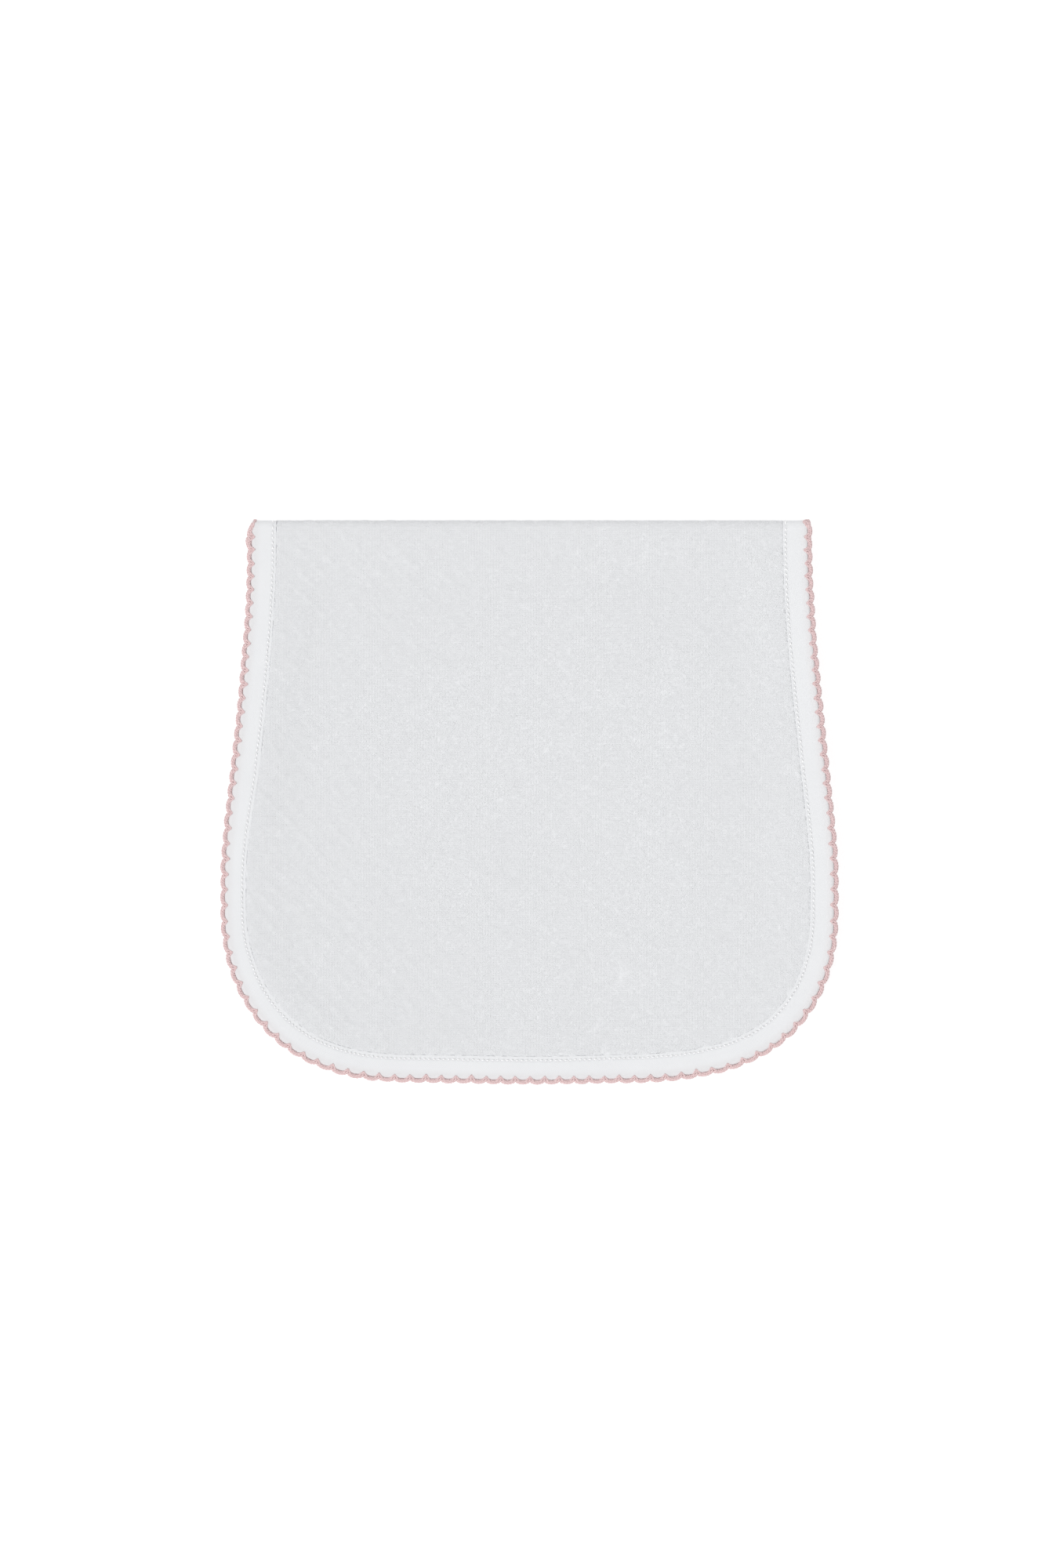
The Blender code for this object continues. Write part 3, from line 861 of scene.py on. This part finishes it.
def anchor_shape(edge, chain, draws):
    """Yarn legs at each notch, from the chain over the binding's rolled edge into the cloth."""
    count = len(chain.starts)
    scallop = np.arange(count)
    hole = chain.starts + draws.normal(0.0, ANCHOR_STRAY, count)
    depth = ANCHOR_DEPTH * (1 + scattered(draws, ANCHOR_DEPTH_SPREAD, count))
    reach = ANCHOR_REACH / (chain.ends - chain.starts)
    place, out, lift = chain.middle(scallop - 1, 1 - reach)
    before = (np.where(place > hole, place - edge.length, place), out, lift)
    after = chain.middle(scallop, reach)
    at_notch = chain.middle(scallop, np.zeros(count))
    behind = np.where(edge.at(hole)[0][:, 1] < 0, BEHIND_SINK, 0.0)
    lines = []
    for face in (1, -1):
        for place, out, lift in (before, after, at_notch):
            start_out = out + (AT_NOTCH_OUT if place is at_notch[0] else BESIDE_NOTCH_OUT)
            start = (place, start_out, lift + face * STRAND_TWIST_RADIUS)
            crown = (
                (place + hole) / 2,
                (start_out - depth) / 2,
                face * (ANCHOR_CROWN - behind),
            )
            finish = (hole, -depth, face * (band_top(depth) - ANCHOR_SINK - behind))
            lines.append([on_edge(edge, *point) for point in (start, crown, finish)])
    start, crown, finish = np.array(lines).transpose(1, 0, 2, 3).reshape(3, -1, 3)
    share = np.linspace(0.0, 1.0, ANCHOR_STATIONS)[:, None]
    curve = (1 - share) ** 2 * start[:, None] + share**2 * finish[:, None]
    curve = curve + 2 * share * (1 - share) * crown[:, None]
    radii = ANCHOR_RADIUS * (1 - ANCHOR_TAPER * share[:, 0]) * np.ones((len(start), 1))
    _, normals, *_ = edge.at(hole)
    ahead = np.column_stack([normals[:, 1], -normals[:, 0], np.zeros(count)])
    reference = np.tile(ahead, (len(lines), 1))[:, None]
    return tubes(curve, radii, reference, ANCHOR_SIDES, False)


# Materials

class Finish:
    """A fabric material whose nodes are added one after another."""

    def __init__(self, name, roughness, sheen):
        self.material = bpy.data.materials.new(name)
        self.material.use_nodes = True
        self.nodes = self.material.node_tree.nodes
        self.links = self.material.node_tree.links
        self.shader = self.nodes["Principled BSDF"]
        self.shader.inputs["Roughness"].default_value = roughness
        self.shader.inputs["Specular IOR Level"].default_value = 0.25
        self.shader.inputs["Sheen Weight"].default_value = sheen
        self.shader.inputs["Sheen Roughness"].default_value = 0.45

    def node(self, kind, inputs=(), **settings):
        """A node with its settings, and its inputs given as values or as other nodes' outputs."""
        made = self.nodes.new(kind)
        for name, value in settings.items():
            setattr(made, name, value)
        for name, value in dict(inputs).items():
            if isinstance(value, bpy.types.NodeSocket):
                self.links.new(value, made.inputs[name])
            else:
                made.inputs[name].default_value = value
        return made

    def math(self, operation, first, second=0.0, third=0.0):
        made = self.node(
            "ShaderNodeMath", {0: first, 1: second, 2: third}, operation=operation
        )
        return made.outputs[0]

    def parts(self, attribute):
        """The three numbers of a point attribute."""
        read = self.node("ShaderNodeAttribute", attribute_name=attribute)
        split = self.node("ShaderNodeSeparateXYZ", {0: read.outputs["Vector"]})
        return read.outputs["Vector"], [split.outputs[i] for i in range(3)]

    def wave(self, value, pitch, shift=0.0):
        """A sine of a length on the cloth, one wave for each pitch."""
        turn = self.math("MULTIPLY_ADD", value, 2 * math.pi / pitch, shift)
        return self.math("SINE", turn)

    def blotches(self, place, size, detail=2.0):
        made = self.node(
            "ShaderNodeTexNoise", {"Vector": place, "Scale": 1 / size, "Detail": detail}
        )
        return made.outputs[0]

    def tint(self, factor, low, high):
        """A colour between two, by a factor from 0 to 1."""
        made = self.node("ShaderNodeMix", {0: factor}, data_type="RGBA")
        for socket, colour in zip((made.inputs[6], made.inputs[7]), (low, high)):
            if isinstance(colour, bpy.types.NodeSocket):
                self.links.new(colour, socket)
            else:
                socket.default_value = (*colour, 1.0)
        return made.outputs[2]

    def colour(self, socket):
        self.links.new(socket, self.shader.inputs["Base Color"])

    def bump(self, height, distance, under=None):
        inputs = {"Height": height, "Distance": distance, "Strength": 1.0}
        if under is not None:
            inputs["Normal"] = under
        made = self.node("ShaderNodeBump", inputs)
        return made.outputs[0]

    def normal(self, socket):
        self.links.new(socket, self.shader.inputs["Normal"])


def panel_finish():
    look = Finish("figured_cotton", 0.95, 0.12)
    place, (across, along, height) = look.parts("cloth_place")
    rib = look.wave(across, RIB_PITCH)
    course = look.wave(along, COURSE_PITCH)
    knit = look.math("MULTIPLY_ADD", course, COURSE_SHARE, rib)
    fuzz = look.blotches(place, FUZZ_SIZE)
    grain = look.blotches(place, GRAIN_SIZE, 1.0)
    patches = look.blotches(place, PANEL_PATCH_SIZE, 1.0)
    # Painted light and shade of the relief: the puffs' height, as strong as the figure shows, and the
    # grain make the cloth lighter where it stands up and darker where it lies flat; the patches are
    # the cloth's own uneven tone.
    tone_and_painted_shade = look.math("MULTIPLY_ADD", height, 0.35, look.math("MULTIPLY", patches, 0.3))
    tone_and_painted_shade = look.math("MULTIPLY_ADD", grain, 0.7, tone_and_painted_shade)
    look.colour(look.tint(tone_and_painted_shade, *PANEL_TONE_AND_SHADE_COLOURS))
    soft = look.bump(grain, GRAIN_BUMP, look.bump(fuzz, PANEL_FUZZ_BUMP))
    look.normal(look.bump(knit, KNIT_BUMP, soft))
    return look.material


def binding_finish():
    look = Finish("plain_cotton_tape", 0.92, 0.12)
    place, (way, depth, hole) = look.parts("tape_place")
    one = look.wave(look.math("ADD", way, depth), TAPE_WEAVE_PITCH)
    other = look.wave(look.math("SUBTRACT", way, depth), TAPE_WEAVE_PITCH)
    weave = look.math("ADD", one, other)
    fuzz = look.blotches(place, FUZZ_SIZE)
    patches = look.blotches(place, TAPE_PATCH_SIZE, 1.0)
    cloth = look.tint(patches, *TAPE_COLOURS)
    # Painted shade, with a faint pink cast, darkening the binding towards the chain.
    painted_shade_by_yarn = look.node(
        "ShaderNodeMapRange", {0: depth, 1: PAINTED_SHADE_BY_YARN_START, 2: PAINTED_SHADE_BY_YARN_END}
    )
    painted_shade_by_yarn.interpolation_type = "SMOOTHSTEP"
    cloth = look.tint(painted_shade_by_yarn.outputs[0], cloth, PAINTED_SHADE_BY_YARN_COLOUR)
    # Painted shade in the needle holes of the topstitch.
    look.colour(look.tint(hole, cloth, HOLE_SHADE_COLOUR))
    look.normal(look.bump(weave, TAPE_WEAVE_BUMP, look.bump(fuzz, TAPE_FUZZ_BUMP)))
    return look.material


def yarn_finish(name, colours, roughness, sheen, ply_pitch, plies, groove):
    """Twisted yarn: fine plies wind round each strand, with painted shade in their grooves."""
    look = Finish(name, roughness, sheen)
    place, (way, cosine, sine) = look.parts("yarn_place")
    angle = look.math("MULTIPLY", look.math("ARCTAN2", sine, cosine), plies)
    turn = look.math("MULTIPLY_ADD", way, 2 * math.pi / ply_pitch, angle)
    ply = look.math("ABSOLUTE", look.math("SINE", look.math("MULTIPLY", turn, 0.5)))
    lint = look.blotches(place, LINT_SIZE)
    patches = look.blotches(place, YARN_PATCH_SIZE, 1.0)
    # Painted shade in the plies' grooves and painted light on their crowns; the patches are the yarn's
    # own uneven tone.
    tone_and_painted_shade = look.math("MULTIPLY_ADD", ply, 0.6, look.math("MULTIPLY", patches, 0.5))
    look.colour(look.tint(tone_and_painted_shade, *colours))
    look.normal(look.bump(ply, groove, look.bump(lint, groove)))
    return look.material


def floor_finish():
    look = Finish("studio_floor", 0.9, 0.0)
    look.shader.inputs["Base Color"].default_value = FLOOR_GREY
    look.shader.inputs["Emission Color"].default_value = WHITE
    look.shader.inputs["Emission Strength"].default_value = FLOOR_GLOW
    look.shader.inputs["Specular IOR Level"].default_value = 0.0
    return look.material


# Objects

def add_mesh(name, places, faces, material):
    mesh = bpy.data.meshes.new(name)
    mesh.from_pydata(places.tolist(), [], faces)
    mesh.shade_smooth()
    mesh.materials.append(material)
    made = bpy.data.objects.new(name, mesh)
    bpy.context.scene.collection.objects.link(made)
    return made


def volume_sign(places, faces):
    """Above 0 when the faces look outwards."""
    corners = np.array([face[:3] for face in faces])
    a, b, c = (places[corners[:, i]] for i in range(3))
    halves = np.array([2.0 if len(face) == 4 else 1.0 for face in faces])
    return float((np.einsum("ij,ij->i", a, np.cross(b, c)) * halves).sum())


def add_piece(name, flat, faces, material, attribute, values, shift):
    """A piece from its points on the flat cloth, folded, and riding on the cloth's one body."""
    places = fold_over(flat, shift)
    middle = places.mean(axis=0)
    if volume_sign(places - middle, faces) < 0:
        faces = [face[::-1] for face in faces]
    made = add_mesh(name, places, faces, material)
    layer = made.data.attributes.new(attribute, "FLOAT_VECTOR", "POINT")
    layer.data.foreach_set("vector", np.ascontiguousarray(values, np.float32).ravel())
    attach(made, "root")
    return made


def frame_shift(edge):
    """How far the folded cloth lies from the fold line's own frame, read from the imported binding."""
    low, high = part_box("binding")
    return np.array([
        low.x - edge.points[:, 0].min(),
        high.y - FOLD_RADIUS - BAND_HALF,
        0.0,
    ])


# Studio

PHOTO_HEIGHT = 2000
METRES_A_PIXEL = 0.0003553
LENS = 85.0
SENSOR = 36.0
# Middle of the cloth in the photo, from the picture's own middle, in pixels right and down
CLOTH_OFF_MIDDLE = (8.9, 22.8)
# Lights: name, azimuth, elevation, strength, spread
SUNS = (
    ("key", -42.0, 46.0, 1.46, 9.0),
    ("fill", 165.0, 32.0, 0.56, 30.0),
)
WHITE = (1.0, 1.0, 1.0, 1.0)
SKY_STRENGTH = 0.63
FLOOR_GREY = (0.42, 0.42, 0.42, 1.0)
FLOOR_GLOW = 0.72
FLOOR_HALF = 12.0
FLOOR_DROP = 0.00005


def add_camera(middle):
    """A camera straight above that takes in the photo's frame."""
    data = bpy.data.cameras.new("camera")
    data.lens = LENS
    data.sensor_width = SENSOR
    camera = bpy.data.objects.new("camera", data)
    frame_height = PHOTO_HEIGHT * METRES_A_PIXEL
    camera.location = (
        middle.x - CLOTH_OFF_MIDDLE[0] * METRES_A_PIXEL,
        middle.y + CLOTH_OFF_MIDDLE[1] * METRES_A_PIXEL,
        middle.z + frame_height * LENS / SENSOR,
    )
    bpy.context.scene.collection.objects.link(camera)
    bpy.context.scene.camera = camera


def add_sun(name, azimuth, elevation, strength, spread):
    """A distant soft light. Azimuth 0 comes from -Y, and 90 from +X."""
    data = bpy.data.lights.new(name, "SUN")
    data.energy = strength
    data.angle = math.radians(spread)
    light = bpy.data.objects.new(name, data)
    turn = math.radians(azimuth)
    tilt = math.radians(elevation)
    source = Vector((
        math.sin(turn) * math.cos(tilt),
        -math.cos(turn) * math.cos(tilt),
        math.sin(tilt),
    ))
    light.rotation_euler = source.to_track_quat("Z", "Y").to_euler()
    bpy.context.scene.collection.objects.link(light)


def add_studio():
    scene = bpy.context.scene
    scene.view_settings.view_transform = "Standard"
    scene.view_settings.look = "None"
    world = bpy.data.worlds.new("studio")
    world.use_nodes = True
    sky = world.node_tree.nodes["Background"]
    sky.inputs["Color"].default_value = WHITE
    sky.inputs["Strength"].default_value = SKY_STRENGTH
    scene.world = world
    for sun in SUNS:
        add_sun(*sun)
    corners = FLOOR_HALF * np.array([(-1, -1, 0), (1, -1, 0), (1, 1, 0), (-1, 1, 0)])
    floor = add_mesh("floor", corners, [(0, 1, 2, 3)], floor_finish())
    floor.location.z = -FLOOR_DROP


def main():
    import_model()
    cad_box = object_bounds()
    draws = np.random.default_rng(SEED)
    edge = CutEdge()
    chain = Chain(edge, draws)
    shift = frame_shift(edge)

    flat, faces, height = panel_shape(edge)
    cloth_place = np.column_stack([flat[:, :2], height])
    panel = add_piece(
        "panel_cloth", flat, faces, panel_finish(), "cloth_place", cloth_place, shift
    )
    flat, faces, tape = binding_shape(edge)
    binding = add_piece(
        "binding_tape", flat, faces, binding_finish(), "tape_place", tape, shift
    )
    thread = yarn_finish(
        "white_thread",
        THREAD_SHADE_AND_LIGHT_COLOURS,
        roughness=0.75,
        sheen=0.1,
        ply_pitch=0.0006,
        plies=2,
        groove=0.00003,
    )
    yarn = yarn_finish(
        "pink_cotton_yarn",
        YARN_SHADE_AND_LIGHT_COLOURS,
        roughness=0.85,
        sheen=0.25,
        ply_pitch=0.0011,
        plies=3,
        groove=0.00006,
    )
    parts = {
        "topstitch": (topstitch_shape(edge, draws), thread),
        "edging_chain": (chain_shape(edge, chain), yarn),
        "edging_anchors": (anchor_shape(edge, chain, draws), yarn),
    }
    for name, ((flat, faces, place), material) in parts.items():
        add_piece(name, flat, faces, material, "yarn_place", place, shift)

    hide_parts("panel")
    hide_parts("binding")
    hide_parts("edging")

    low, high = cad_box
    add_camera((low + high) / 2)
    add_studio()


main()
